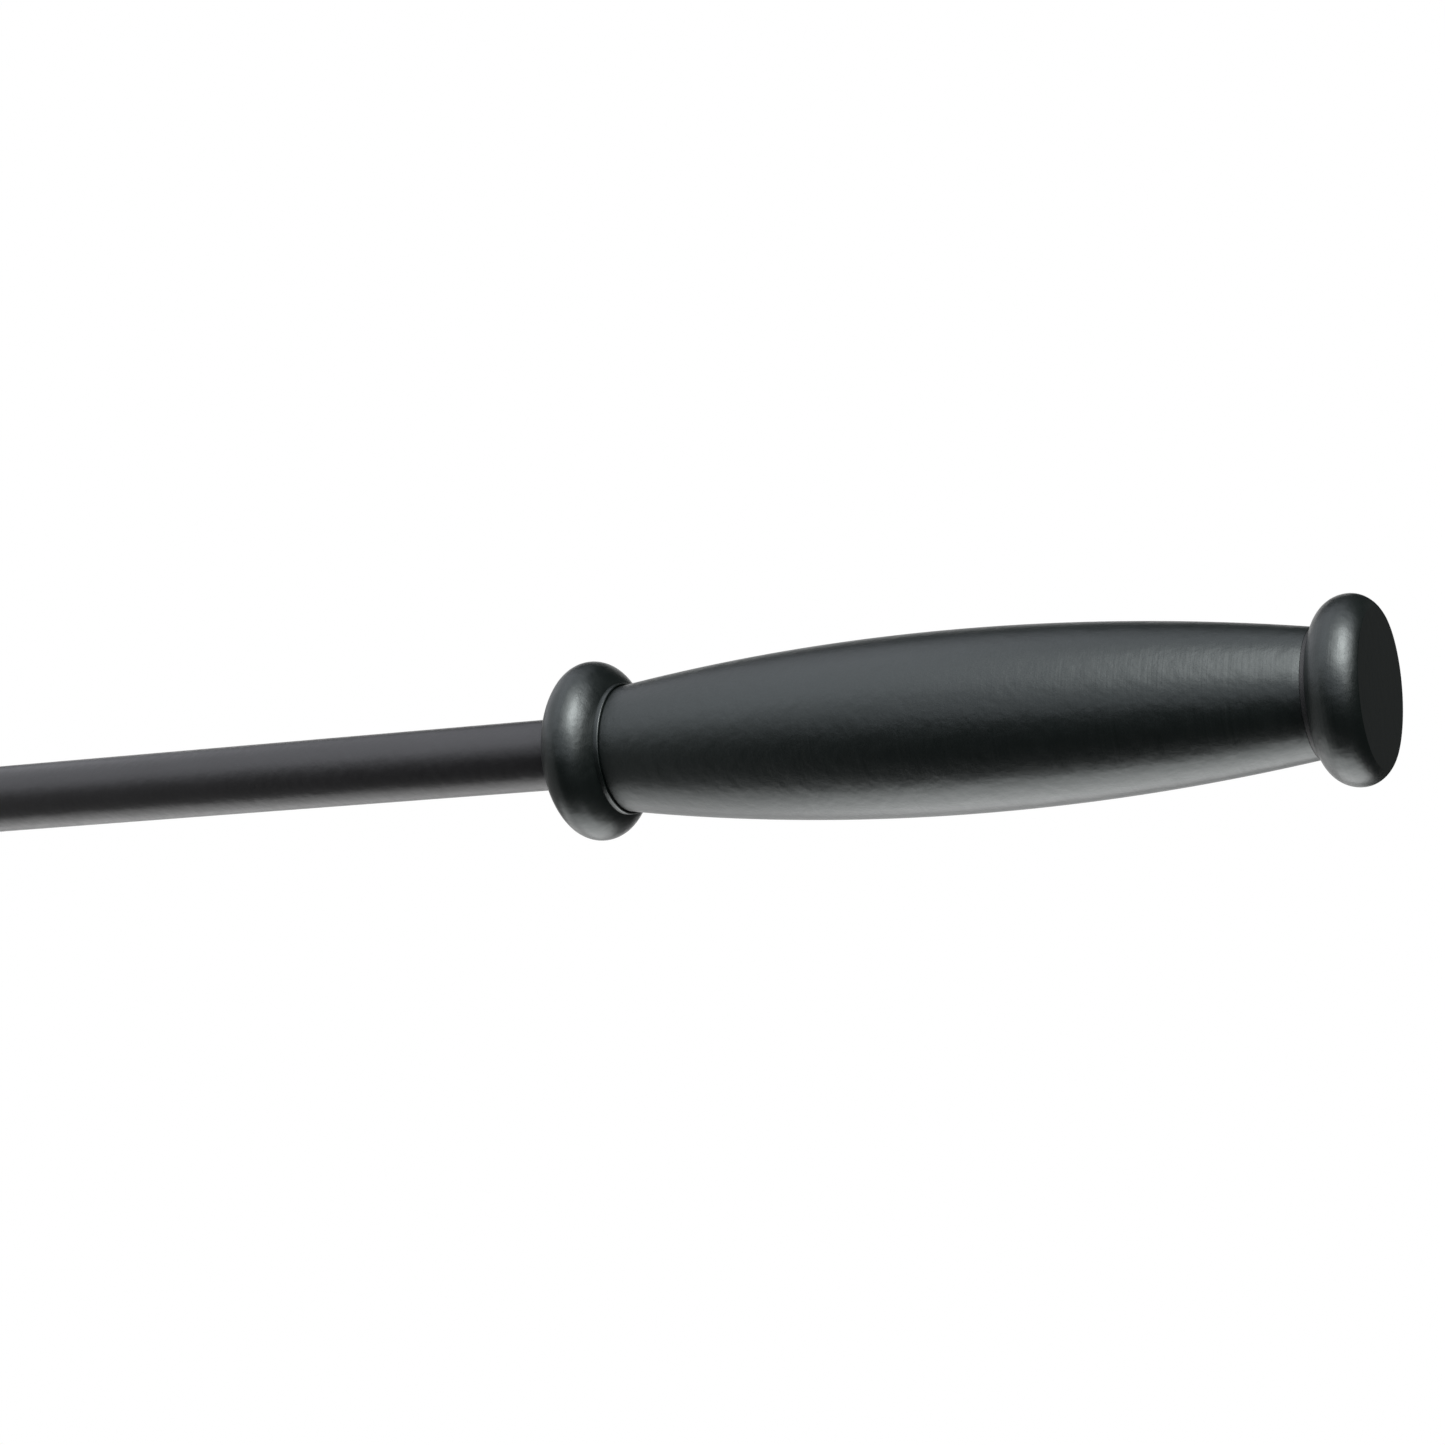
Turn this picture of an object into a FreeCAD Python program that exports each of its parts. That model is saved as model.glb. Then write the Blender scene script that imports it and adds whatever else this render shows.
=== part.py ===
"""Knife sharpening steel: a black ceramic rod in a turned aluminium handle.

Frame: millimetres, +Z up.  The axis of the whole tool is X.  The origin is the
centre of the guard's front face, where the rod leaves the handle: the rod runs
towards -X and the handle towards +X.

How it goes together.  The rod's tang is bonded into a steel socket.  The socket's
flange sits in the front of the guard ring, and a tie rod screwed into its back end
is pulled by a nut at the far end of the grip, so flange, guard, grip, washers and
nut are one clamped stack.  The pommel screws on to the free end of the tie rod and
hides the nut.  Threads are plain cylinders at their major diameter.
"""

import FreeCAD
import Part
import math
import os

import Sketcher
from FreeCAD import Rotation, Vector

doc = FreeCAD.newDocument("sharpening_steel")

# ---------------------------------------------------------------- driving sizes
SIZES = {
    # rod
    "rod_diameter": 13.0,
    "rod_reach": 254.0,
    "rod_edge_round": 0.4,
    "tang_diameter": 12.0,
    "tang_length": 36.0,
    "tang_chamfer": 0.8,
    "stub_step": 2.0,
    "stub_length": 8.0,
    # cap on the free end of the rod
    "cap_inset": 0.1,
    "cap_length": 11.5,
    "cap_end_gap": 0.3,
    "cap_mouth_chamfer": 0.4,
    # socket that holds the tang
    "socket_wall": 2.05,
    "socket_length": 52.0,
    "flange_step": 1.4,
    "flange_thickness": 2.5,
    "bond_gap": 0.25,
    "pad_thickness": 2.0,
    "oring_section": 1.8,
    "oring_inset": 1.0,
    "oring_groove_width": 2.2,
    "socket_chamfer": 0.6,
    # guard ring
    "guard_diameter": 32.6,
    "guard_thickness": 11.6,
    "guard_rim_depth": 7.4,
    "guard_crown_radius": 4.6,
    "recess_depth": 3.2,
    "lip_height": 0.15,
    "lip_bead_radius": 0.2,
    "well_edge_round": 0.25,
    # grip
    "grip_diameter": 32.0,
    "grip_end_diameter": 21.9,
    "grip_length": 131.1,
    "grip_bore_gap": 2.0,
    "grip_edge_round": 0.1,
    "web_thickness": 8.0,
    "nut_well_gap": 0.6,
    "nut_well_depth": 14.3,
    # flat seals at both ends of the grip
    "guard_seal_thickness": 0.6,
    "pommel_seal_thickness": 0.8,
    "seal_inset": 0.05,
    # tie rod and its fasteners
    "thread_diameter": 8.0,
    "tie_waist_step": 0.5,
    "tie_thread_in": 11.0,
    "tie_thread_out": 24.0,
    "tie_chamfer": 0.8,
    "tie_slot_width": 1.4,
    "tie_slot_depth": 2.0,
    "thread_depth": 12.0,
    "washer_diameter": 16.0,
    "washer_thickness": 1.6,
    "lock_washer_diameter": 14.8,
    "lock_washer_thickness": 2.0,
    "lock_washer_split": 1.2,
    "nut_across_flats": 13.0,
    "nut_thickness": 6.5,
    "nut_corner_chamfer": 0.6,
    # pommel
    "pommel_diameter": 31.8,
    "pommel_back_round": 5.45,
    "pommel_front_round": 4.7,
    "pommel_front_depth": 4.15,
    "pommel_edge_round": 0.3,
    "spigot_length": 3.5,
    "insert_wall": 1.95,
    "insert_length": 10.0,
    "insert_groove": 0.5,
    "insert_groove_width": 2.0,
    # clearances
    "slide_gap": 0.1,
    "thread_gap": 0.05,
    "hole_gap": 0.2,
    "lip_gap": 0.15,
    "end_gap": 0.5,
}

dims = doc.addObject("Spreadsheet::Sheet", "dims")
for row, (alias, value) in enumerate(SIZES.items(), start=1):
    dims.set(f"A{row}", alias)
    dims.set(f"B{row}", str(value))
    dims.setAlias(f"B{row}", alias)
doc.recompute()


def value_of(expression):
    """The number that an expression over the sheet's cells gives."""
    return float(dims.evalExpression(expression))


def expand(text):
    """An expression as objects outside the sheet write it, with every cell named in full."""
    words, word = [], ""
    for letter in text + " ":
        if letter.isalnum() or letter == "_":
            word += letter
            continue
        words.append(f"dims.{word}" if word in SIZES else word)
        words.append(letter)
        word = ""
    return "".join(words).strip()


# ------------------------------------------------------- places along the X axis
RECESS_FLOOR = "(guard_thickness - recess_depth)"
GRIP_FRONT = f"({RECESS_FLOOR} + guard_seal_thickness)"
GRIP_REAR = f"({GRIP_FRONT} + grip_length)"
WELL_FLOOR = f"({GRIP_REAR} - nut_well_depth)"
WEB_FRONT = f"({WELL_FLOOR} - web_thickness)"
LOCK_WASHER_X = f"({WELL_FLOOR} + washer_thickness)"
NUT_X = f"({LOCK_WASHER_X} + lock_washer_thickness)"
POMMEL_BACK = f"({GRIP_REAR} + pommel_seal_thickness)"
SPIGOT_X = f"({POMMEL_BACK} - spigot_length)"
POMMEL_CROWN = f"({POMMEL_BACK} + pommel_back_round)"
POMMEL_FACE = f"({POMMEL_CROWN} + pommel_front_depth)"
INSERT_END = f"({SPIGOT_X} + insert_length)"
TIE_START = "(socket_length - tie_thread_in)"
TIE_END = f"({INSERT_END} - tie_chamfer)"
TIE_WAIST_END = f"({TIE_END} - tie_thread_out)"
CAP_FRONT = "(-rod_reach)"
CAP_BACK = "(cap_length - rod_reach)"
STUB_END = f"({CAP_BACK} - stub_length)"

# --------------------------------------------------------------- radii in common
ROD_R = "(rod_diameter / 2)"
STUB_R = f"({ROD_R} - stub_step)"
CAP_R = f"({ROD_R} - cap_inset)"
TANG_R = "(tang_diameter / 2)"
BOND_R = f"({TANG_R} + bond_gap)"
SOCKET_R = f"({BOND_R} + socket_wall)"
FLANGE_R = f"({SOCKET_R} + flange_step)"
SLEEVE_R = f"({SOCKET_R} + slide_gap)"
WELL_R = "(washer_diameter / 2 + nut_well_gap)"
GRIP_END_R = "(grip_end_diameter / 2)"
THREAD_R = "(thread_diameter / 2)"
TAPPED_R = f"({THREAD_R} + thread_gap)"
HOLE_R = f"({THREAD_R} + hole_gap)"
INSERT_R = f"({TAPPED_R} + insert_wall)"

# The grip's side is one arc.  This is its radius, and the grip's radius where it
# passes the mouth of the guard's recess, which sets how wide the recess is.
GRIP_SAG = "((grip_diameter - grip_end_diameter) / 2)"
GRIP_ARC = f"(((grip_length / 2)^2 + {GRIP_SAG}^2) / (2 * {GRIP_SAG}))"
MOUTH_OFFSET = "(grip_length / 2 - recess_depth - lip_height + guard_seal_thickness)"
GRIP_R_AT_MOUTH = (
    f"(grip_diameter / 2 - {GRIP_ARC} + sqrt({GRIP_ARC}^2 - {MOUTH_OFFSET}^2))"
)
RECESS_R = f"({GRIP_R_AT_MOUTH} + lip_gap)"


# ------------------------------------------------------------------ sketch tools
def plane(body, role):
    """One of a body's own origin planes."""
    return next(f for f in body.Origin.OriginFeatures if f.Role == role)


def new_body(label):
    body = doc.addObject("PartDesign::Body", label)
    body.Label = label
    return body


def new_sketch(body, name, role="XY_Plane"):
    sketch = body.newObject("Sketcher::SketchObject", f"{body.Name}_{name}")
    sketch.AttachmentSupport = [(plane(body, role), "")]
    sketch.MapMode = "FlatFace"
    return sketch


def pin_point(sketch, geometry, end, x, y):
    """Holds a point of a sketch at two expressions, measured from the sketch's origin."""
    for kind, expression in (("DistanceX", x), ("DistanceY", y)):
        at = value_of(expression)
        number = sketch.addConstraint(
            Sketcher.Constraint(kind, -1, 1, geometry, end, at)
        )
        if expression != "0":
            sketch.setExpression(f"Constraints[{number}]", expand(expression))


def draw(sketch, outline):
    """Draws a closed outline.

    Each entry is a corner (x, y) in expressions, or (x, y, via_x, via_y) where the
    stretch from that corner to the next is an arc through the second point.
    """
    corners = [Vector(value_of(c[0]), value_of(c[1]), 0) for c in outline]
    first = sketch.GeometryCount
    count = len(outline)
    for i, corner in enumerate(outline):
        start, stop = corners[i], corners[(i + 1) % count]
        if len(corner) == 2:
            sketch.addGeometry(Part.LineSegment(start, stop), False)
        else:
            via = Vector(value_of(corner[2]), value_of(corner[3]), 0)
            sketch.addGeometry(Part.Arc(start, via, stop), False)
    for i, corner in enumerate(outline):
        this = first + i
        follows = first + (i + 1) % count
        # an arc drawn clockwise is kept anticlockwise, so its ends change places
        tail = end_near(sketch, this, corners[(i + 1) % count])
        head = end_near(sketch, follows, corners[(i + 1) % count])
        sketch.addConstraint(
            Sketcher.Constraint("Coincident", this, tail, follows, head)
        )
    for i, corner in enumerate(outline):
        this = first + i
        pin_point(sketch, this, end_near(sketch, this, corners[i]), *corner[:2])
        if len(corner) == 4:
            via = Vector(value_of(corner[2]), value_of(corner[3]), 0)
            mark = sketch.addGeometry(Part.Point(via), True)
            pin_point(sketch, mark, 1, *corner[2:])
            sketch.addConstraint(Sketcher.Constraint("PointOnObject", mark, 1, this))


def end_near(sketch, geometry, point):
    """1 or 2: the end of a line or arc that lies at a point."""
    start = sketch.getPoint(geometry, 1)
    stop = sketch.getPoint(geometry, 2)
    return 1 if (start - point).Length <= (stop - point).Length else 2


def turned(label, outline):
    """A body turned on the lathe: an outline of (x, radius) spun about the X axis."""
    body = new_body(label)
    sketch = new_sketch(body, "outline")
    draw(sketch, outline)
    spun = body.newObject("PartDesign::Revolution", f"{label}_turned")
    spun.Profile = sketch
    spun.ReferenceAxis = (sketch, ["H_Axis"])
    spun.Angle = 360.0
    doc.recompute()
    return body


def rings(shape, x, radius):
    """Names of a shape's circular edges about the X axis, at one place and radius."""
    names = []
    for number, edge in enumerate(shape.Edges, start=1):
        curve = edge.Curve
        if not isinstance(curve, Part.Circle):
            continue
        off_axis = math.hypot(curve.Center.y, curve.Center.z)
        gap = max(off_axis, abs(curve.Center.x - x), abs(curve.Radius - radius))
        if gap < 1e-3:
            names.append(f"Edge{number}")
    return names


def round_rings(body, size, *places):
    """Rounds the circular edges of a turned body at (x, radius) places."""
    base = body.Tip
    names = []
    for x, radius in places:
        found = rings(base.Shape, value_of(x), value_of(radius))
        if not found:
            raise RuntimeError(f"{body.Label}: no edge at x {x}, radius {radius}")
        names += found
    fillet = body.newObject("PartDesign::Fillet", f"{body.Label}_round")
    fillet.Base = (base, names)
    fillet.setExpression("Radius", expand(size))
    doc.recompute()


def flat_ring(label, x, thickness, inner_radius, outer_radius):
    """A plain washer or flat seal."""
    back = f"({x} + {thickness})"
    return turned(
        label,
        [
            (x, inner_radius),
            (back, inner_radius),
            (back, outer_radius),
            (x, outer_radius),
        ],
    )


# ---------------------------------------------------------------- the rod's side
def make_rod():
    """Solid ceramic: working length, ground tang behind it, stub for the cap."""
    body = turned(
        "sharpening_rod",
        [
            (STUB_END, "0"),
            ("tang_length", "0"),
            ("tang_length", f"{TANG_R} - tang_chamfer"),
            ("tang_length - tang_chamfer", TANG_R),
            ("0", TANG_R),
            ("0", ROD_R),
            (CAP_BACK, ROD_R),
            (CAP_BACK, STUB_R),
            (STUB_END, STUB_R),
        ],
    )
    round_rings(body, "rod_edge_round", (CAP_BACK, ROD_R))


def make_tip_cap():
    """Elastomer cap that covers the stub, with a domed end."""
    dome_back = f"{CAP_FRONT} + {CAP_R}"
    turned(
        "tip_cap",
        [
            (CAP_FRONT, "0"),
            (f"{STUB_END} - cap_end_gap", "0"),
            (f"{STUB_END} - cap_end_gap", STUB_R),
            (CAP_BACK, STUB_R),
            (CAP_BACK, f"{CAP_R} - cap_mouth_chamfer"),
            (f"{CAP_BACK} - cap_mouth_chamfer", CAP_R),
            (
                dome_back,
                CAP_R,
                f"{CAP_FRONT} + {CAP_R} * (1 - sqrt(0.5))",
                f"{CAP_R} * sqrt(0.5)",
            ),
        ],
    )


def make_socket():
    """Steel socket: flange at the mouth, blind bore for the tang, tapped back end."""
    bore_end = "(tang_length + pad_thickness)"
    groove_r = f"({TANG_R} + oring_section)"
    groove_back = "(oring_inset + oring_groove_width)"
    turned(
        "rod_socket",
        [
            ("0", BOND_R),
            ("oring_inset", BOND_R),
            ("oring_inset", groove_r),
            (groove_back, groove_r),
            (groove_back, BOND_R),
            (bore_end, BOND_R),
            (bore_end, "0"),
            ("socket_length - thread_depth", "0"),
            ("socket_length - thread_depth", TAPPED_R),
            ("socket_length", TAPPED_R),
            ("socket_length", f"{SOCKET_R} - socket_chamfer"),
            ("socket_length - socket_chamfer", SOCKET_R),
            ("flange_thickness", SOCKET_R),
            ("flange_thickness", FLANGE_R),
            ("0", FLANGE_R),
        ],
    )


def make_rod_seal():
    """O-ring between the tang and the groove in the socket's mouth."""
    ring = doc.addObject("Part::Torus", "rod_seal")
    ring.Label = "rod_seal"
    ring.setExpression("Radius1", expand(f"{TANG_R} + oring_section / 2"))
    ring.setExpression("Radius2", expand("oring_section / 2"))
    ring.Placement.Rotation = Rotation(Vector(0, 1, 0), 90)
    middle = "oring_inset + oring_groove_width / 2"
    ring.setExpression("Placement.Base.x", expand(middle))


def make_bond_and_pad():
    """Cured adhesive round the tang, and the elastomer pad under its end."""
    start = "(oring_inset + oring_groove_width)"
    flat_ring("bond_sleeve", start, f"(tang_length - tang_chamfer - {start})", TANG_R, BOND_R)
    turned(
        "shock_pad",
        [
            ("tang_length", "0"),
            ("tang_length + pad_thickness", "0"),
            ("tang_length + pad_thickness", BOND_R),
            ("tang_length", BOND_R),
        ],
    )


# ------------------------------------------------------------------- the handle
def make_guard():
    """Ring with an oval rim.  The flange sits in its front, the grip in its back.

    The rim's section is part of an oval of three arcs that run smoothly into each
    other: a crown, and a flatter flank of one radius on each side of it.  Behind, the
    flank stops at a thin lip with a bead on its edge, close round the grip.
    """
    half = "(guard_thickness / 2)"
    crown = "guard_crown_radius"
    base_r = "(guard_diameter / 2 - guard_rim_depth)"
    well_r = f"({FLANGE_R} + slide_gap)"
    crown_up = f"(guard_rim_depth - {crown})"
    flank = f"(({half}^2 + {crown_up}^2 - {crown}^2) / (2 * ({half} - {crown})))"
    flank_back = f"({flank} - {half})"
    join_x = f"({crown} * {flank_back} / ({flank} - {crown}))"
    join_r = f"({base_r} + {crown_up} + {crown} * {crown_up} / ({flank} - {crown}))"

    def flank_x(radius):
        """How far the flank stands from the guard's middle at a radius."""
        return f"(sqrt({flank}^2 - ({radius} - {base_r})^2) - {flank_back})"

    bead = "lip_bead_radius"
    bead_x = "(guard_thickness + lip_height)"
    lip_r = f"({RECESS_R} + 2 * {bead})"
    front_mid_r = f"(({well_r} + {join_r}) / 2)"
    back_mid_r = f"(({lip_r} + {join_r}) / 2)"
    front_x = f"({half} - {flank_x(well_r)})"
    back_x = f"({half} + {flank_x(lip_r)})"
    body = turned(
        "guard_ring",
        [
            ("flange_thickness", SLEEVE_R),
            (RECESS_FLOOR, SLEEVE_R),
            (RECESS_FLOOR, RECESS_R),
            (bead_x, RECESS_R, f"{bead_x} + {bead}", f"{RECESS_R} + {bead}"),
            (bead_x, lip_r),
            (back_x, lip_r, f"{half} + {flank_x(back_mid_r)}", back_mid_r),
            (f"{half} + {join_x}", join_r, half, "guard_diameter / 2"),
            (f"{half} - {join_x}", join_r, f"{half} - {flank_x(front_mid_r)}", front_mid_r),
            (front_x, well_r),
            ("flange_thickness", well_r),
        ],
    )
    round_rings(body, "well_edge_round", (front_x, well_r))


def make_grip():
    """Barrel-shaped grip: socket bore in front, nut well behind, web between them."""
    socket_end = "(socket_length + end_gap)"
    bore_r = f"({THREAD_R} + grip_bore_gap)"
    body = turned(
        "grip_barrel",
        [
            (GRIP_FRONT, SLEEVE_R),
            (socket_end, SLEEVE_R),
            (socket_end, bore_r),
            (WEB_FRONT, bore_r),
            (WEB_FRONT, HOLE_R),
            (WELL_FLOOR, HOLE_R),
            (WELL_FLOOR, WELL_R),
            (GRIP_REAR, WELL_R),
            (
                GRIP_REAR,
                GRIP_END_R,
                f"{GRIP_FRONT} + grip_length / 2",
                "grip_diameter / 2",
            ),
            (GRIP_FRONT, GRIP_END_R),
        ],
    )
    round_rings(
        body, "grip_edge_round", (GRIP_FRONT, GRIP_END_R), (GRIP_REAR, GRIP_END_R)
    )


def make_grip_seals():
    """Flat elastomer rings that close both ends of the grip."""
    outer = f"({GRIP_END_R} - seal_inset)"
    flat_ring("guard_seal", RECESS_FLOOR, "guard_seal_thickness", SLEEVE_R, outer)
    flat_ring("pommel_seal", GRIP_REAR, "pommel_seal_thickness", WELL_R, outer)


def make_pommel():
    """End knob with a rounded rim, a flat end face and a spigot into the nut well."""
    back_centre = "(pommel_diameter / 2 - pommel_back_round)"
    front_centre = "(pommel_diameter / 2 - pommel_front_round)"
    face_r = f"({front_centre} + sqrt(pommel_front_round^2 - pommel_front_depth^2))"
    half_depth = "(pommel_front_depth / 2)"
    via_r = f"({front_centre} + sqrt(pommel_front_round^2 - {half_depth}^2))"
    spigot_r = f"({WELL_R} - slide_gap)"
    body = turned(
        "pommel_knob",
        [
            (INSERT_END, "0"),
            (POMMEL_FACE, "0"),
            (POMMEL_FACE, face_r, f"{POMMEL_CROWN} + {half_depth}", via_r),
            (
                POMMEL_CROWN,
                "pommel_diameter / 2",
                f"{POMMEL_CROWN} - pommel_back_round * sqrt(0.5)",
                f"{back_centre} + pommel_back_round * sqrt(0.5)",
            ),
            (POMMEL_BACK, back_centre),
            (POMMEL_BACK, spigot_r),
            (SPIGOT_X, spigot_r),
            (SPIGOT_X, INSERT_R),
            (INSERT_END, INSERT_R),
        ],
    )
    round_rings(body, "pommel_edge_round", (POMMEL_FACE, face_r))


def make_pommel_insert():
    """Steel thread insert in the pommel, with a groove that the aluminium grips."""
    middle = "(insert_length / 2)"
    groove_front = f"({SPIGOT_X} + {middle} - insert_groove_width / 2)"
    groove_back = f"({SPIGOT_X} + {middle} + insert_groove_width / 2)"
    turned(
        "pommel_insert",
        [
            (SPIGOT_X, TAPPED_R),
            (INSERT_END, TAPPED_R),
            (INSERT_END, INSERT_R),
            (groove_back, INSERT_R),
            (groove_back, f"{INSERT_R} - insert_groove"),
            (groove_front, f"{INSERT_R} - insert_groove"),
            (groove_front, INSERT_R),
            (SPIGOT_X, INSERT_R),
        ],
    )


# ----------------------------------------------------------- tie rod and its nut
def make_tie_rod():
    """Double-ended stud with a waist, and a screwdriver slot in its back end."""
    waist_r = f"({THREAD_R} - tie_waist_step)"
    body = turned(
        "tie_rod",
        [
            (TIE_START, "0"),
            (TIE_END, "0"),
            (TIE_END, f"{THREAD_R} - tie_chamfer"),
            (f"{TIE_END} - tie_chamfer", THREAD_R),
            (TIE_WAIST_END, THREAD_R),
            (f"{TIE_WAIST_END} - tie_chamfer", waist_r),
            ("socket_length + tie_chamfer", waist_r),
            ("socket_length", THREAD_R),
            (f"{TIE_START} + tie_chamfer", THREAD_R),
            (TIE_START, f"{THREAD_R} - tie_chamfer"),
        ],
    )
    slot = new_sketch(body, "slot")
    half = "(tie_slot_width / 2)"
    draw(
        slot,
        [
            (f"{TIE_END} - tie_slot_depth", f"-{half}"),
            (f"{TIE_END} + tie_chamfer", f"-{half}"),
            (f"{TIE_END} + tie_chamfer", half),
            (f"{TIE_END} - tie_slot_depth", half),
        ],
    )
    whole = body.Shape.Volume
    cut = body.newObject("PartDesign::Pocket", "tie_rod_slot")
    cut.Profile = slot
    cut.Type = 1
    cut.Midplane = True
    doc.recompute()
    check_cut(body, whole)


def check_cut(body, volume_before):
    """A pocket or groove that points away from the solid cuts nothing."""
    if body.Shape.Volume >= volume_before - 1e-6:
        raise RuntimeError(f"{body.Label}: a cut removed nothing")


def make_washers():
    """Flat washer on the web, and the split spring washer under the nut."""
    flat_ring("clamp_washer", WELL_FLOOR, "washer_thickness", HOLE_R, "washer_diameter / 2")
    body = flat_ring(
        "lock_washer",
        LOCK_WASHER_X,
        "lock_washer_thickness",
        HOLE_R,
        "lock_washer_diameter / 2",
    )
    split = new_sketch(body, "split", "XZ_Plane")
    half = "(lock_washer_split / 2)"
    # the split leans across the ring's thickness, as the coil's end does
    draw(
        split,
        [
            (LOCK_WASHER_X, f"-{half}"),
            (NUT_X, "0"),
            (NUT_X, "lock_washer_split"),
            (LOCK_WASHER_X, half),
        ],
    )
    whole = body.Shape.Volume
    cut = body.newObject("PartDesign::Pocket", "lock_washer_split_cut")
    cut.Profile = split
    cut.Type = 0
    cut.setExpression("Length", expand("lock_washer_diameter"))
    doc.recompute()
    check_cut(body, whole)


def make_nut():
    """Hexagon nut, its corners turned off at both ends."""
    body = new_body("clamp_nut")
    across = "(nut_across_flats / 2)"
    side = f"({across} / cos(30))"
    hexagon = new_sketch(body, "hexagon", "YZ_Plane")
    draw(
        hexagon,
        [
            (side, "0"),
            (f"{side} / 2", across),
            (f"-{side} / 2", across),
            (f"-{side}", "0"),
            (f"-{side} / 2", f"-{across}"),
            (f"{side} / 2", f"-{across}"),
        ],
    )
    hexagon.setExpression("AttachmentOffset.Base.z", expand(NUT_X))
    pad = body.newObject("PartDesign::Pad", "clamp_nut_blank")
    pad.Profile = hexagon
    pad.setExpression("Length", expand("nut_thickness"))
    doc.recompute()

    hole = new_sketch(body, "hole", "YZ_Plane")
    ring = hole.addGeometry(
        Part.Circle(Vector(0, 0, 0), Vector(0, 0, 1), value_of(TAPPED_R)), False
    )
    hole.addConstraint(Sketcher.Constraint("Coincident", ring, 3, -1, 1))
    size = hole.addConstraint(Sketcher.Constraint("Radius", ring, value_of(TAPPED_R)))
    hole.setExpression(f"Constraints[{size}]", expand(TAPPED_R))
    hole.setExpression("AttachmentOffset.Base.z", expand(NUT_X))
    whole = body.Shape.Volume
    bore = body.newObject("PartDesign::Pocket", "clamp_nut_bore")
    bore.Profile = hole
    bore.Type = 1
    bore.Midplane = True
    doc.recompute()
    check_cut(body, whole)

    for name, face, inwards in (
        ("front", NUT_X, "+"),
        ("back", f"({NUT_X} + nut_thickness)", "-"),
    ):
        corner = new_sketch(body, name)
        draw(
            corner,
            [
                (face, f"{side} - 2 * nut_corner_chamfer"),
                (f"{face} {inwards} nut_corner_chamfer", f"{side} + 0.01"),
                (face, f"{side} + 0.01"),
            ],
        )
        whole = body.Shape.Volume
        groove = body.newObject("PartDesign::Groove", f"clamp_nut_{name}_corners")
        groove.Profile = corner
        groove.ReferenceAxis = (corner, ["H_Axis"])
        groove.Angle = 360.0
        doc.recompute()
        check_cut(body, whole)


# ------------------------------------------------------------- build and export
make_rod()
make_tip_cap()
make_socket()
make_rod_seal()
make_bond_and_pad()
make_guard()
make_grip()
make_grip_seals()
make_pommel()
make_pommel_insert()
make_tie_rod()
make_washers()
make_nut()
doc.recompute()

NODES = [
    "sharpening_rod",
    "tip_cap",
    "rod_socket",
    "rod_seal",
    "bond_sleeve",
    "shock_pad",
    "guard_ring",
    "guard_seal",
    "grip_barrel",
    "pommel_seal",
    "pommel_knob",
    "pommel_insert",
    "tie_rod",
    "clamp_washer",
    "lock_washer",
    "clamp_nut",
]

for item in doc.Objects:
    if {"Invalid", "Error"} & set(item.State):
        raise RuntimeError(f"{item.Label} failed: {item.State}")
shapes = {}
for node in NODES:
    shape = doc.getObjectsByLabel(node)[0].Shape
    if shape.isNull() or not shape.isValid() or not shape.Solids:
        raise RuntimeError(f"{node} has no valid solid")
    shapes[node] = shape

os.makedirs("parts", exist_ok=True)
for node, shape in shapes.items():
    shape.exportStep(os.path.join("parts", f"{node}.step"))
    print(f"{node}: {shape.Volume / 1000:.2f} cm3, {len(shape.Solids)} solid")
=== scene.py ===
import math

import bpy
from mathutils import Euler, Matrix, Vector


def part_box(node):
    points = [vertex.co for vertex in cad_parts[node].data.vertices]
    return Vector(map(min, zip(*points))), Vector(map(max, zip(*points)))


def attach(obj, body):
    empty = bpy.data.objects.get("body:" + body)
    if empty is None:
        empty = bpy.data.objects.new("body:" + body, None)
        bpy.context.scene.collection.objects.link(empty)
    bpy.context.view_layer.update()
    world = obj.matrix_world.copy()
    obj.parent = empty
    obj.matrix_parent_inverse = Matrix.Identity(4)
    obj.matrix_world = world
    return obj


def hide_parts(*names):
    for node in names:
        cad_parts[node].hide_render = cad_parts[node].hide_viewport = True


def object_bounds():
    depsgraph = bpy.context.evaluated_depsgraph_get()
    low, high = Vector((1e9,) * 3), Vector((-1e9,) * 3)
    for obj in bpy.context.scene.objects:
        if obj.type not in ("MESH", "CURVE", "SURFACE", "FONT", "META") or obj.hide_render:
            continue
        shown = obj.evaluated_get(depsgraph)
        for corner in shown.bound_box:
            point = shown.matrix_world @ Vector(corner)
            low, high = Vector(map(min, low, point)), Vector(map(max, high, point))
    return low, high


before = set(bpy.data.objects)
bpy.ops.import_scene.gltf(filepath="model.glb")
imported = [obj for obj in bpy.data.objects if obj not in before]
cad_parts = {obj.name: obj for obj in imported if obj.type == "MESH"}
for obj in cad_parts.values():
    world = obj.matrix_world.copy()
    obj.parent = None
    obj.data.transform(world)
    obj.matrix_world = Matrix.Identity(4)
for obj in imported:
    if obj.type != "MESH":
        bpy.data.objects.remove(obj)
cad_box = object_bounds()

MM = 0.001


# ------------------------------------------------------------------------ camera
# The camera stands near the pommel end, a little above the tool, with a long lens.
# It is rolled, so that the rod runs away to the left and slightly down.
CROWN_X = 5.8
LENS = 83.6
CAMERA_AWAY = 609.3
CAMERA_RIGHT = 22.46
CAMERA_UP = 5.17
AZIMUTH = math.radians(26.48)
ELEVATION = math.radians(10.0)
ROLL = math.radians(9.69)

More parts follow.
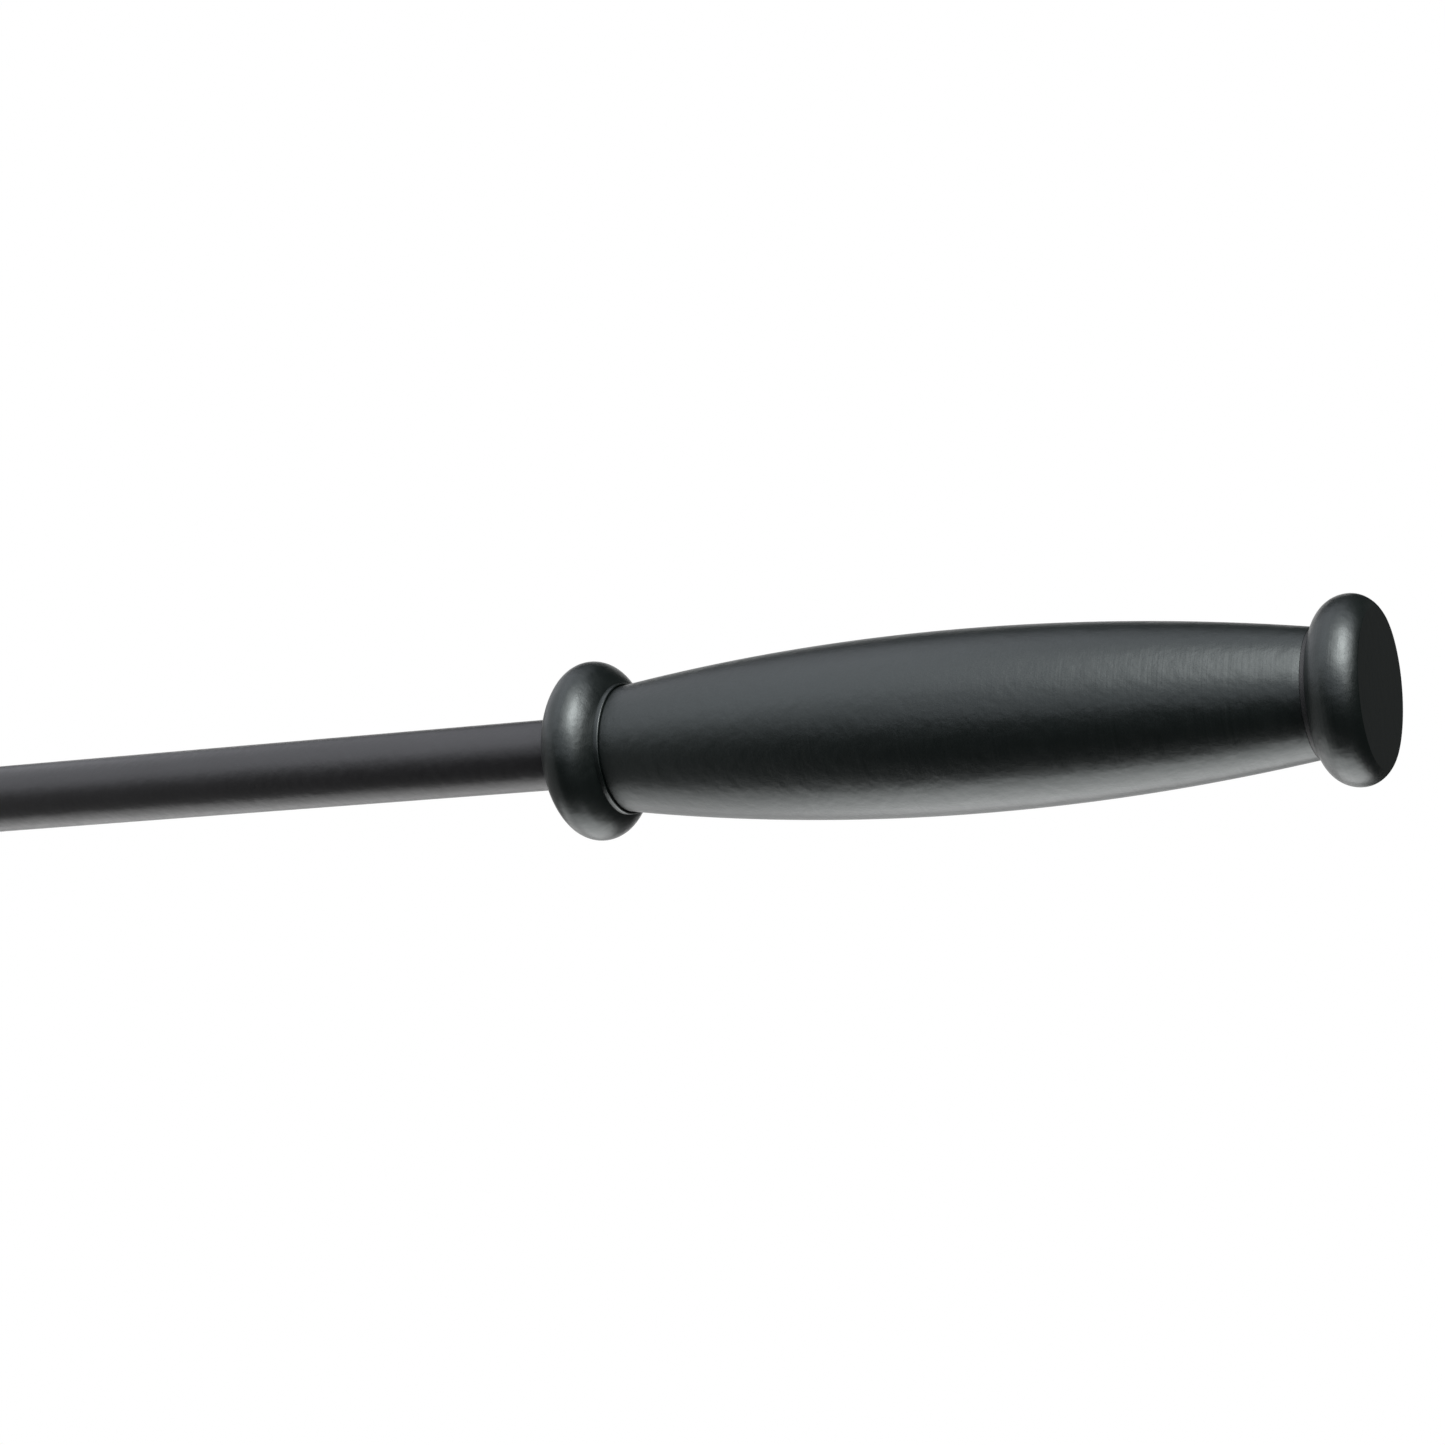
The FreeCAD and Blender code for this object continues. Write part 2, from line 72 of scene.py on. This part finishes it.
turn = Euler((math.pi / 2 - ELEVATION, 0, AZIMUTH)).to_matrix() @ Matrix.Rotation(-ROLL, 3, "Z")
offset = turn @ Vector((CAMERA_RIGHT, CAMERA_UP, CAMERA_AWAY))
spot = (Vector((CROWN_X, 0, 0)) + offset) * MM
bpy.ops.object.camera_add(location=spot, rotation=turn.to_euler())
camera = bpy.context.object
camera.name = "main_camera"
camera.data.lens = LENS
camera.data.clip_start = 0.01
bpy.context.scene.camera = camera


# --------------------------------------------------------------- sharpening rod
# The rod is one solid bar of black ceramic, fired and then ground round and matt.
# A thinner tang goes back into the handle, and a thin stub in front carries the cap.
SEGMENTS = 128
EDGE_STEPS = 6
SAME_POINT = 0.001
ROD_RADIUS = 6.5
ROD_EDGE_ROUND = 0.4
TANG_RADIUS = 6.0
TANG_CHAMFER = 0.8
STUB_RADIUS = 4.5


def mm_box(node):
    """A CAD node's ends along the tool, in millimetres."""
    low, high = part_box(node)
    return low.x / MM, high.x / MM


def arc(centre_x, centre_r, radius, start, stop, steps):
    """Points of an arc in the plane of an outline, its angles in degrees from +X."""
    points = []
    for i in range(steps + 1):
        angle = math.radians(start + (stop - start) * i / steps)
        points.append((centre_x + radius * math.cos(angle), centre_r + radius * math.sin(angle)))
    return points


def turned(name, outline, edge_round=0.0):
    """Turns a piece about the tool's axis from an outline of (x, radius) in millimetres.

    The piece starts as a circle, which is extruded from each point of the outline to
    the next.  An outline that starts off the axis is closed into a ring, and one that
    starts on it starts as a disc out to its second point.
    """
    hollow = outline[0][1] > 0
    points = [*outline, outline[0]] if hollow else outline[1:]
    x, radius = points[0]
    bpy.ops.object.select_all(action="DESELECT")
    bpy.ops.mesh.primitive_circle_add(
        vertices=SEGMENTS,
        radius=radius * MM,
        fill_type="NOTHING" if hollow else "TRIFAN",
        location=(x * MM, 0, 0),
        rotation=(0, math.pi / 2, 0),
    )
    piece = bpy.context.object
    piece.name = name
    bpy.ops.object.transform_apply(location=True, rotation=True, scale=True)
    bpy.ops.object.mode_set(mode="EDIT")
    if not hollow:
        select_rim()
    for next_x, next_radius in points[1:]:
        bpy.ops.mesh.extrude_region_move(
            TRANSFORM_OT_translate={"value": ((next_x - x) * MM, 0, 0)}
        )
        if next_radius == 0:
            bpy.ops.mesh.merge(type="CENTER")
            break
        if next_radius != radius:
            size = next_radius / radius
            bpy.ops.transform.resize(value=(1, size, size), center_override=(next_x * MM, 0, 0))
        x, radius = next_x, next_radius
    bpy.ops.mesh.select_all(action="SELECT")
    bpy.ops.mesh.remove_doubles(threshold=SAME_POINT * MM)
    bpy.ops.mesh.normals_make_consistent(inside=False)
    bpy.ops.object.mode_set(mode="OBJECT")
    if edge_round:
        bevel = piece.modifiers.new("edge_round", "BEVEL")
        bevel.width = edge_round * MM
        bevel.segments = 4
        bevel.limit_method = "ANGLE"
        bevel.angle_limit = math.radians(35)
        bpy.ops.object.modifier_apply(modifier=bevel.name)
    bpy.ops.object.shade_smooth_by_angle(angle=math.radians(40))
    return piece


def select_rim():
    """Selects the open rim of a disc, leaving its middle."""
    bpy.ops.mesh.select_all(action="DESELECT")
    bpy.ops.mesh.select_mode(type="EDGE")
    bpy.ops.mesh.select_non_manifold()


def nodes_of(material):
    """A material's node tree, its shader and its texture coordinates."""
    material.use_nodes = True
    tree = material.node_tree
    shader = tree.nodes["Principled BSDF"]
    place = tree.nodes.new("ShaderNodeTexCoord")
    return tree, shader, place


def mixed(tree, factor, low, high):
    """A Mix node between two colours, driven by a factor."""
    mix = tree.nodes.new("ShaderNodeMix")
    mix.data_type = "RGBA"
    mix.inputs["A"].default_value = (*low, 1)
    mix.inputs["B"].default_value = (*high, 1)
    tree.links.new(factor, mix.inputs["Factor"])
    return mix.outputs["Result"]


def ranged(tree, value, low, high, start=0.0, stop=1.0):
    """A Map Range node from start..stop to low..high."""
    spread = tree.nodes.new("ShaderNodeMapRange")
    spread.inputs["From Min"].default_value = start
    spread.inputs["From Max"].default_value = stop
    spread.inputs["To Min"].default_value = low
    spread.inputs["To Max"].default_value = high
    tree.links.new(value, spread.inputs["Value"])
    return spread.outputs["Result"]


def grain(tree, place, per_mm, detail=2.0):
    """Noise in three directions, with so many cells to the millimetre."""
    noise = tree.nodes.new("ShaderNodeTexNoise")
    noise.inputs["Scale"].default_value = per_mm / MM
    noise.inputs["Detail"].default_value = detail
    tree.links.new(place.outputs["Object"], noise.inputs["Vector"])
    return noise.outputs["Fac"]


def bumped(tree, height, depth_mm, strength=None, under=None):
    """A Bump node, laid over another one if given, with its strength varied if given."""
    bump = tree.nodes.new("ShaderNodeBump")
    bump.inputs["Strength"].default_value = 1.0
    if strength is not None:
        tree.links.new(strength, bump.inputs["Strength"])
    bump.inputs["Distance"].default_value = depth_mm * MM
    tree.links.new(height, bump.inputs["Height"])
    if under is not None:
        tree.links.new(under, bump.inputs["Normal"])
    return bump.outputs["Normal"]


def black_ceramic():
    """Fired, ground ceramic: near black, matt and fine-grained, and a little uneven."""
    material = bpy.data.materials.new("black_ceramic")
    tree, shader, place = nodes_of(material)
    fine = grain(tree, place, per_mm=0.6, detail=6.0)
    cloud = grain(tree, place, per_mm=0.09, detail=3.0)
    colour = mixed(tree, cloud, (0.0060, 0.0058, 0.0063), (0.0110, 0.0107, 0.0115))
    tree.links.new(colour, shader.inputs["Base Color"])
    tree.links.new(ranged(tree, fine, low=0.25, high=0.43), shader.inputs["Roughness"])
    tree.links.new(bumped(tree, fine, depth_mm=0.07), shader.inputs["Normal"])
    shader.inputs["IOR"].default_value = 1.55
    return material


rod_front, rod_back = mm_box("sharpening_rod")
cap_front, cap_back = mm_box("tip_cap")
shoulder_r = ROD_RADIUS - ROD_EDGE_ROUND
rod = turned(
    "ground_rod",
    [
        (rod_front, 0),
        (rod_front, STUB_RADIUS),
        (cap_back, STUB_RADIUS),
        (cap_back, shoulder_r),
        *arc(cap_back + ROD_EDGE_ROUND, shoulder_r, ROD_EDGE_ROUND, 180, 90, EDGE_STEPS)[1:],
        (0, ROD_RADIUS),
        (0, TANG_RADIUS),
        (rod_back - TANG_CHAMFER, TANG_RADIUS),
        (rod_back, TANG_RADIUS - TANG_CHAMFER),
        (rod_back, 0),
    ],
)
rod.data.materials.append(black_ceramic())
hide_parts("sharpening_rod")
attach(rod, "root")


# --------------------------------------------------------------------- tip cap
# A moulded black rubber cap is pushed on to the stub, so that the brittle end of the
# rod can't chip.  It is a little thinner than the rod, with a domed end, and the dome
# starts from a disc so small that it looks round.
CAP_RADIUS = 6.4
CAP_END_GAP = 0.3
CAP_MOUTH_ROUND = 0.4
CROWN_STEPS = 24
DOME_START = 176


def black_rubber():
    """Moulded rubber: dull, with a fine eggshell surface and a dusty variation."""
    material = bpy.data.materials.new("black_rubber")
    tree, shader, place = nodes_of(material)
    fine = grain(tree, place, per_mm=5.0, detail=3.0)
    dust = grain(tree, place, per_mm=0.35, detail=4.0)
    colour = mixed(tree, dust, (0.006, 0.0065, 0.0068), (0.013, 0.0135, 0.0138))
    tree.links.new(colour, shader.inputs["Base Color"])
    tree.links.new(ranged(tree, dust, low=0.42, high=0.62), shader.inputs["Roughness"])
    tree.links.new(bumped(tree, fine, depth_mm=0.004), shader.inputs["Normal"])
    return material


rubber = black_rubber()
stub_end = rod_front - CAP_END_GAP
mouth_x = cap_back - CAP_MOUTH_ROUND
mouth_r = CAP_RADIUS - CAP_MOUTH_ROUND
cap = turned(
    "rubber_tip_cap",
    [
        (cap_front, 0),
        *arc(cap_front + CAP_RADIUS, 0, CAP_RADIUS, DOME_START, 90, CROWN_STEPS),
        *arc(mouth_x, mouth_r, CAP_MOUTH_ROUND, 90, 0, EDGE_STEPS),
        (cap_back, STUB_RADIUS),
        (stub_end, STUB_RADIUS),
        (stub_end, 0),
    ],
)
cap.data.materials.append(rubber)
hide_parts("tip_cap")
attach(cap, "root")


# ------------------------------------------------------- socket, bond and seals
# The turned steel socket shows only as a narrow ring round the rod, in the guard's front.
# The cured adhesive, the O-ring, the shock pad and the flat seals are inside it or
# between the handle's pieces.
def turning(tree, place, pitch_mm):
    """Lathe lines: noise that changes only along the tool and outwards from its axis."""
    split = tree.nodes.new("ShaderNodeSeparateXYZ")
    tree.links.new(place.outputs["Object"], split.inputs["Vector"])
    across = tree.nodes.new("ShaderNodeCombineXYZ")
    tree.links.new(split.outputs["Y"], across.inputs["Y"])
    tree.links.new(split.outputs["Z"], across.inputs["Z"])
    radius = tree.nodes.new("ShaderNodeVectorMath")
    radius.operation = "LENGTH"
    tree.links.new(across.outputs["Vector"], radius.inputs[0])
    along = tree.nodes.new("ShaderNodeMath")
    along.operation = "ADD"
    tree.links.new(split.outputs["X"], along.inputs[0])
    tree.links.new(radius.outputs["Value"], along.inputs[1])
    lines = tree.nodes.new("ShaderNodeTexNoise")
    lines.noise_dimensions = "1D"
    lines.inputs["Scale"].default_value = 1 / (pitch_mm * MM)
    lines.inputs["Detail"].default_value = 3.0
    tree.links.new(along.outputs["Value"], lines.inputs["W"])
    return lines.outputs["Fac"]


def turned_steel():
    """Bright machined steel with fine lathe lines and a slight stain."""
    material = bpy.data.materials.new("turned_steel")
    tree, shader, place = nodes_of(material)
    lines = turning(tree, place, pitch_mm=0.12)
    stain = grain(tree, place, per_mm=0.2, detail=4.0)
    colour = mixed(tree, stain, (0.42, 0.42, 0.43), (0.56, 0.56, 0.56))
    tree.links.new(colour, shader.inputs["Base Color"])
    tree.links.new(ranged(tree, lines, low=0.22, high=0.42), shader.inputs["Roughness"])
    tree.links.new(bumped(tree, lines, depth_mm=0.003), shader.inputs["Normal"])
    shader.inputs["Metallic"].default_value = 1.0
    return material


def cured_adhesive():
    """Grey filled epoxy, smooth where it met the socket, with small voids."""
    material = bpy.data.materials.new("cured_adhesive")
    tree, shader, place = nodes_of(material)
    voids = grain(tree, place, per_mm=1.6, detail=3.0)
    colour = mixed(tree, voids, (0.17, 0.17, 0.16), (0.28, 0.28, 0.26))
    tree.links.new(colour, shader.inputs["Base Color"])
    tree.links.new(ranged(tree, voids, low=0.30, high=0.50), shader.inputs["Roughness"])
    tree.links.new(bumped(tree, voids, depth_mm=0.01), shader.inputs["Normal"])
    return material


def finish_node(node, material):
    """Gives a carried-over CAD node its material."""
    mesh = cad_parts[node].data
    mesh.materials.clear()
    mesh.materials.append(material)


steel = turned_steel()
finish_node("rod_socket", steel)
finish_node("bond_sleeve", cured_adhesive())
for node in ("rod_seal", "shock_pad", "guard_seal", "pommel_seal"):
    finish_node(node, rubber)


# ------------------------------------------------------------------ guard ring
# The guard is turned from aluminium bar and anodised black.  Its rim is an oval of
# three arcs.  The socket's flange sits in its front, and the grip in a recess in its
# back, inside a thin lip with a bead on its edge.
GUARD_RADIUS = 16.3
GUARD_HALF = 5.8
RIM_DEPTH = 7.4
GUARD_CROWN = 4.6
FLANGE_WELL = 9.8
SLEEVE_RADIUS = 8.4
WELL_EDGE_ROUND = 0.25
RECESS_RADIUS = 11.517
RECESS_DEPTH = 3.2
LIP_HEIGHT = 0.15
LIP_BEAD = 0.2
FLANGE_THICKNESS = 2.5
FLANK_STEPS = 12
BEAD_STEPS = 12
FAINT_LINES_X = 60
FULL_LINES_X = 115


def blended(tree, factor, first, second):
    """A Mix node between two values, driven by a factor."""
    mix = tree.nodes.new("ShaderNodeMix")
    tree.links.new(factor, mix.inputs["Factor"])
    tree.links.new(first, mix.inputs["A"])
    tree.links.new(second, mix.inputs["B"])
    return mix.outputs["Result"]


def black_anodised():
    """Turned aluminium under a black anodised layer: satin, a little uneven from the
    etching, with lathe lines that come and go and are plainer towards the pommel."""
    material = bpy.data.materials.new("black_anodised")
    tree, shader, place = nodes_of(material)
    split = tree.nodes.new("ShaderNodeSeparateXYZ")
    tree.links.new(place.outputs["Object"], split.inputs["Vector"])
    plainer = ranged(
        tree, split.outputs["X"], low=0.25, high=1.0, start=FAINT_LINES_X * MM, stop=FULL_LINES_X * MM
    )
    lines = turning(tree, place, pitch_mm=0.55)
    swell = turning(tree, place, pitch_mm=9.0)
    coming = ranged(tree, swell, low=0.0, high=0.8, start=0.4, stop=0.65)
    etched = grain(tree, place, per_mm=0.45, detail=5.0)
    cloud = grain(tree, place, per_mm=0.12, detail=3.0)
    colour = mixed(tree, cloud, (0.0010, 0.0022, 0.0019), (0.0022, 0.0038, 0.0034))
    tree.links.new(colour, shader.inputs["Base Color"])
    uneven = blended(tree, coming, etched, lines)
    tree.links.new(ranged(tree, uneven, low=0.30, high=0.42), shader.inputs["Roughness"])
    grooves = bumped(tree, lines, depth_mm=0.018, strength=plainer)
    surface = bumped(tree, etched, depth_mm=0.10, under=grooves)
    tree.links.new(surface, shader.inputs["Normal"])
    shader.inputs["IOR"].default_value = 1.6
    shader.inputs["Specular Tint"].default_value = (0.93, 1.0, 0.99, 1)
    return material


anodised = black_anodised()
base_r = GUARD_RADIUS - RIM_DEPTH
crown_up = RIM_DEPTH - GUARD_CROWN
flank = (GUARD_HALF**2 + crown_up**2 - GUARD_CROWN**2) / (2 * (GUARD_HALF - GUARD_CROWN))
flank_back = flank - GUARD_HALF
lean = math.degrees(math.atan2(crown_up, flank_back))
recess_floor = 2 * GUARD_HALF - RECESS_DEPTH
bead_x = 2 * GUARD_HALF + LIP_HEIGHT
lip_radius = RECESS_RADIUS + 2 * LIP_BEAD
lip_angle = math.degrees(math.asin((lip_radius - base_r) / flank))
round_r = FLANGE_WELL + WELL_EDGE_ROUND
round_away = flank - WELL_EDGE_ROUND
front_angle = math.degrees(math.asin((round_r - base_r) / round_away))
round_x = GUARD_HALF + flank_back - round_away * math.cos(math.radians(front_angle))
guard = turned(
    "guard_collar",
    [
        (FLANGE_THICKNESS, SLEEVE_RADIUS),
        (recess_floor, SLEEVE_RADIUS),
        (recess_floor, RECESS_RADIUS),
        *arc(bead_x, RECESS_RADIUS + LIP_BEAD, LIP_BEAD, -90, 90, BEAD_STEPS),
        *arc(GUARD_HALF - flank_back, base_r, flank, lip_angle, lean, FLANK_STEPS)[:-1],
        *arc(GUARD_HALF, base_r + crown_up, GUARD_CROWN, lean, 180 - lean, CROWN_STEPS),
        *arc(
            GUARD_HALF + flank_back, base_r, flank, 180 - lean, 180 - front_angle, FLANK_STEPS
        )[1:],
        *arc(round_x, round_r, WELL_EDGE_ROUND, 180 - front_angle, 270, EDGE_STEPS)[1:],
        (FLANGE_THICKNESS, FLANGE_WELL),
    ],
)
guard.data.materials.append(anodised)
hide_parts("guard_ring")
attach(guard, "root")


# ------------------------------------------------------------------------ grip
# The grip is a hollow barrel, turned from aluminium bar in one long arc and anodised
# black.  Its front end sits in the guard, and its back end has a well for the nut.
GRIP_RADIUS = 16.0
GRIP_END_RADIUS = 10.95
GRIP_BORE = 6.0
SOCKET_BORE_END = 52.5
WEB_HOLE = 4.2
WEB_THICKNESS = 8.0
WELL_RADIUS = 8.6
WELL_DEPTH = 14.3
GRIP_EDGE_ROUND = 0.1
SIDE_STEPS = 72

grip_front, grip_back = mm_box("grip_barrel")
half_length = (grip_back - grip_front) / 2
sag = GRIP_RADIUS - GRIP_END_RADIUS
side_radius = (half_length**2 + sag**2) / (2 * sag)
side_angle = math.degrees(math.asin(half_length / side_radius))
well_floor = grip_back - WELL_DEPTH
grip = turned(
    "barrel_grip",
    [
        (grip_front, SLEEVE_RADIUS),
        (SOCKET_BORE_END, SLEEVE_RADIUS),
        (SOCKET_BORE_END, GRIP_BORE),
        (well_floor - WEB_THICKNESS, GRIP_BORE),
        (well_floor - WEB_THICKNESS, WEB_HOLE),
        (well_floor, WEB_HOLE),
        (well_floor, WELL_RADIUS),
        (grip_back, WELL_RADIUS),
        *arc(
            (grip_front + grip_back) / 2,
            GRIP_RADIUS - side_radius,
            side_radius,
            90 - side_angle,
            90 + side_angle,
            SIDE_STEPS,
        ),
    ],
    edge_round=GRIP_EDGE_ROUND,
)
grip.data.materials.append(anodised)
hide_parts("grip_barrel")
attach(grip, "root")


# ------------------------------------------------------- tie rod and its fasteners
# The steel tie rod screws into the socket.  A washer, a spring washer and a nut pull
# it back against the web inside the grip.
for node in ("tie_rod", "clamp_washer", "lock_washer", "clamp_nut"):
    finish_node(node, steel)


# --------------------------------------------------------------------- pommel
# The pommel is turned from aluminium and anodised black: a rounded rim and a flat end
# face.  A steel thread insert is pressed into the side that meets the grip, and screws
# on to the tie rod.
POMMEL_RADIUS = 15.9
GRIP_SIDE_ROUND = 5.45
FACE_SIDE_ROUND = 4.7
FACE_SIDE_DEPTH = 4.15
FACE_SIDE_STEPS = 20
FACE_EDGE_ROUND = 0.3
SPIGOT_RADIUS = 8.5
INSERT_RADIUS = 6.0

finish_node("pommel_insert", steel)
spigot_x, pommel_face = mm_box("pommel_knob")
insert_end = mm_box("pommel_insert")[1]
crown_x = pommel_face - FACE_SIDE_DEPTH
grip_side = crown_x - GRIP_SIDE_ROUND
rim_r = POMMEL_RADIUS - FACE_SIDE_ROUND
edge_away = FACE_SIDE_ROUND - FACE_EDGE_ROUND
edge_x = pommel_face - FACE_EDGE_ROUND
edge_angle = math.degrees(math.acos((edge_x - crown_x) / edge_away))
edge_r = rim_r + edge_away * math.sin(math.radians(edge_angle))
pommel = turned(
    "round_pommel",
    [
        (insert_end, 0),
        (insert_end, INSERT_RADIUS),
        (spigot_x, INSERT_RADIUS),
        (spigot_x, SPIGOT_RADIUS),
        (grip_side, SPIGOT_RADIUS),
        *arc(
            crown_x, POMMEL_RADIUS - GRIP_SIDE_ROUND, GRIP_SIDE_ROUND, 180, 90, CROWN_STEPS
        )[:-1],
        *arc(crown_x, rim_r, FACE_SIDE_ROUND, 90, edge_angle, FACE_SIDE_STEPS),
        *arc(edge_x, edge_r, FACE_EDGE_ROUND, edge_angle, 0, EDGE_STEPS)[1:],
        (pommel_face, 0),
    ],
)
pommel.data.materials.append(anodised)
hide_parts("pommel_knob")
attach(pommel, "root")


# ----------------------------------------------------- floor, backdrop and lights
# The tool lies on a white table, inside a white backdrop.  Both are plain white to the
# camera and light nothing.  Soft boxes light the tool from above and from both sides, and
# from below they lighten its underside.
STUDIO_RADIUS = 6.0
BOX_AWAY = 1.2
AIMED_AT = Vector((0.06, 0, 0))
WORLD_STRENGTH = 0.012


def plain_white(piece, name):
    """Names a stage piece and makes it plain white to the camera, with no light on the tool."""
    piece.name = name
    piece.visible_diffuse = False
    piece.visible_glossy = False
    piece.visible_shadow = False
    material = bpy.data.materials.new(name)
    material.use_nodes = True
    material.cycles.emission_sampling = "NONE"
    shader = material.node_tree.nodes["Principled BSDF"]
    shader.inputs["Base Color"].default_value = (0, 0, 0, 1)
    shader.inputs["Specular IOR Level"].default_value = 0
    shader.inputs["Emission Color"].default_value = (1, 1, 1, 1)
    shader.inputs["Emission Strength"].default_value = 1.0
    piece.data.materials.append(material)


def soft_box(name, around, along, half_around, half_along, brightness, tint=(1, 1, 1)):
    """A soft box that shines on the tool, its place and its half sizes in degrees.

    Its place is turned round the tool's axis, from straight up towards -Y, and then
    along the axis towards the pommel.  Its power follows from its area and brightness.
    """
    turned_by = Euler((math.radians(around), 0, 0)).to_matrix()
    tilted_by = Euler((0, math.radians(along), 0)).to_matrix()
    facing = turned_by @ tilted_by
    wide = 2 * BOX_AWAY * math.tan(math.radians(half_along))
    high = 2 * BOX_AWAY * math.tan(math.radians(half_around))
    bpy.ops.object.light_add(
        type="AREA",
        location=AIMED_AT + facing @ Vector((0, 0, BOX_AWAY)),
        rotation=facing.to_euler(),
    )
    lamp = bpy.context.object
    lamp.name = name
    lamp.visible_camera = False
    lamp.data.shape = "RECTANGLE"
    lamp.data.size = wide
    lamp.data.size_y = high
    lamp.data.color = tint
    lamp.data.energy = brightness * math.pi * wide * high


floor_z = cad_box[0][2]
bpy.ops.object.select_all(action="DESELECT")
bpy.ops.mesh.primitive_circle_add(
    vertices=64, radius=STUDIO_RADIUS, fill_type="NGON", location=(0, 0, floor_z)
)
floor = bpy.context.object
plain_white(floor, "white_table")

bpy.ops.mesh.primitive_uv_sphere_add(segments=48, ring_count=24, radius=STUDIO_RADIUS)
backdrop = bpy.context.object
plain_white(backdrop, "white_backdrop")

COOL = (0.96, 0.98, 1.06)
soft_box("key_box", around=19, along=34, half_around=15, half_along=13, brightness=9.2)
soft_box("front_box", around=22, along=30, half_around=28, half_along=37, brightness=3.05)
soft_box("top_box", around=24, along=11, half_around=55, half_along=50, brightness=0.87, tint=COOL)
soft_box("left_box", around=-6, along=-49, half_around=39, half_along=31, brightness=0.80, tint=COOL)
soft_box("rear_box", around=-35, along=-4, half_around=14, half_along=14, brightness=0.45, tint=COOL)
soft_box("table_box", around=189, along=-14, half_around=27, half_along=40, brightness=1.6)
soft_box("low_box", around=190, along=-4, half_around=30, half_along=24, brightness=1.45)
soft_box("back_box", around=257, along=-28, half_around=27, half_along=20, brightness=1.0)
soft_box("side_box", around=259, along=26, half_around=25, half_along=16, brightness=0.06)
soft_box("end_box", around=92, along=-85, half_around=51, half_along=46, brightness=0.30)

world = bpy.data.worlds.new("studio")
world.use_nodes = True
sky = world.node_tree.nodes["Background"]
sky.inputs["Color"].default_value = (1, 1, 1, 1)
sky.inputs["Strength"].default_value = WORLD_STRENGTH
bpy.context.scene.world = world
bpy.context.scene.view_settings.view_transform = "Standard"
